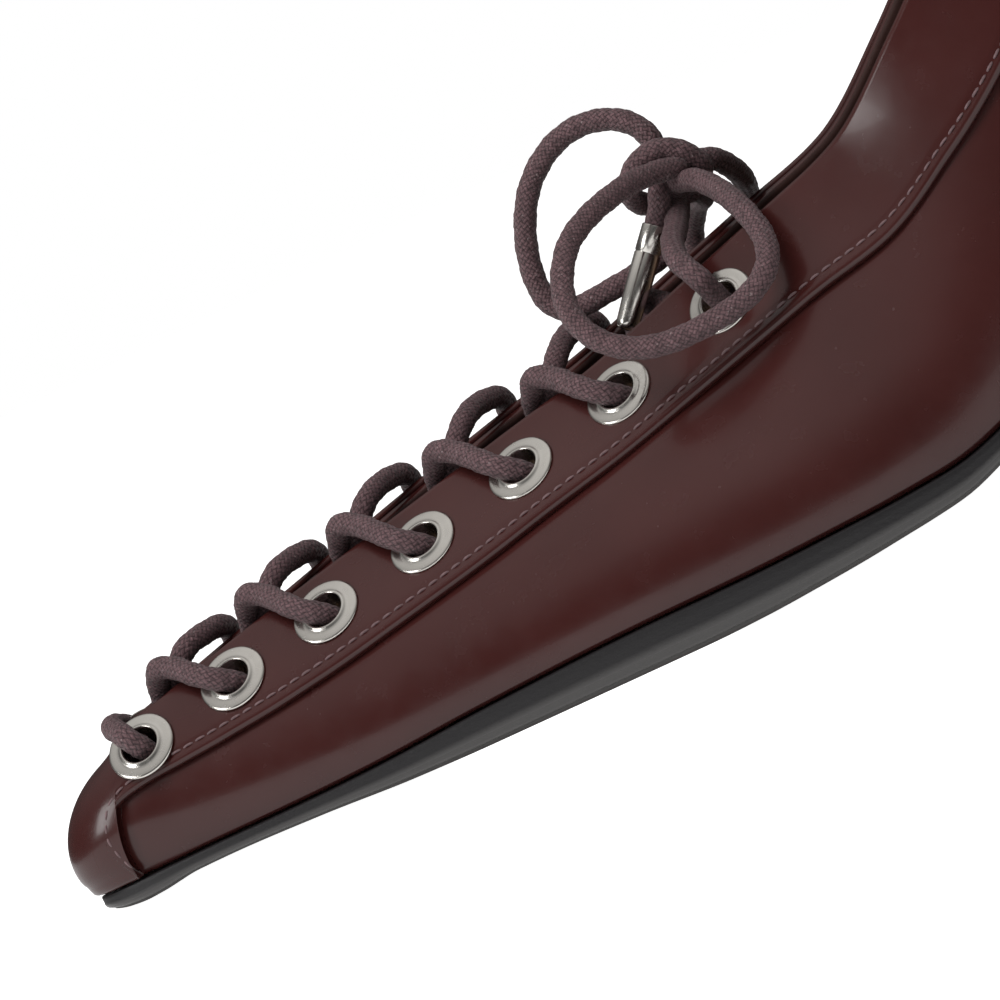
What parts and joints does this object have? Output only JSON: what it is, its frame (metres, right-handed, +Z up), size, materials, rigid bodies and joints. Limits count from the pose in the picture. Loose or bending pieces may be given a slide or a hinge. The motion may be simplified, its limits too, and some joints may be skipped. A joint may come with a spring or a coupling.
{
  "type": "lace up heel",
  "caption": "Pointed leather pump with a slim high heel, laced over the instep through metal eyelets and tied in a bow.",
  "frame": {"origin": "on the ground, under the middle of the shoe's length and width", "axes": "+X from toe to heel, -Y to the outer side, +Z up"},
  "size_m": [0.2634, 0.0746, 0.1397],
  "materials": {
    "leather": "polished",
    "facing": "polished",
    "sole": "waxed edge",
    "rubber": "matte",
    "insole": "matte",
    "nickel": "polished",
    "cotton": "waxed braid"
  },
  "bodies": {
    "root": {"upper": "leather", "facing": "facing", "outsole": "sole", "insole": "insole", "heel": "leather", "heel_tip": "rubber", "eyelet_l1": "nickel", "eyelet_l2": "nickel", "eyelet_l3": "nickel", "eyelet_l4": "nickel", "eyelet_l5": "nickel", "eyelet_l6": "nickel", "eyelet_l7": "nickel", "eyelet_m1": "nickel", "eyelet_m2": "nickel", "eyelet_m3": "nickel", "eyelet_m4": "nickel", "eyelet_m5": "nickel", "eyelet_m6": "nickel", "eyelet_m7": "nickel", "lace_bar": "cotton", "lace_cross_2": "cotton", "lace_cross_3": "cotton", "lace_cross_4": "cotton", "lace_cross_5": "cotton", "lace_cross_6": "cotton", "lace_cross_7": "cotton", "lace_lead_l": "cotton", "lace_lead_m": "cotton", "lace_knot": "cotton", "lace_loop_near": "cotton", "lace_loop_far": "cotton", "lace_tail_l": "cotton", "lace_tail_m": "cotton", "aglet_l": "nickel", "aglet_m": "nickel"}
  },
  "joints": []
}
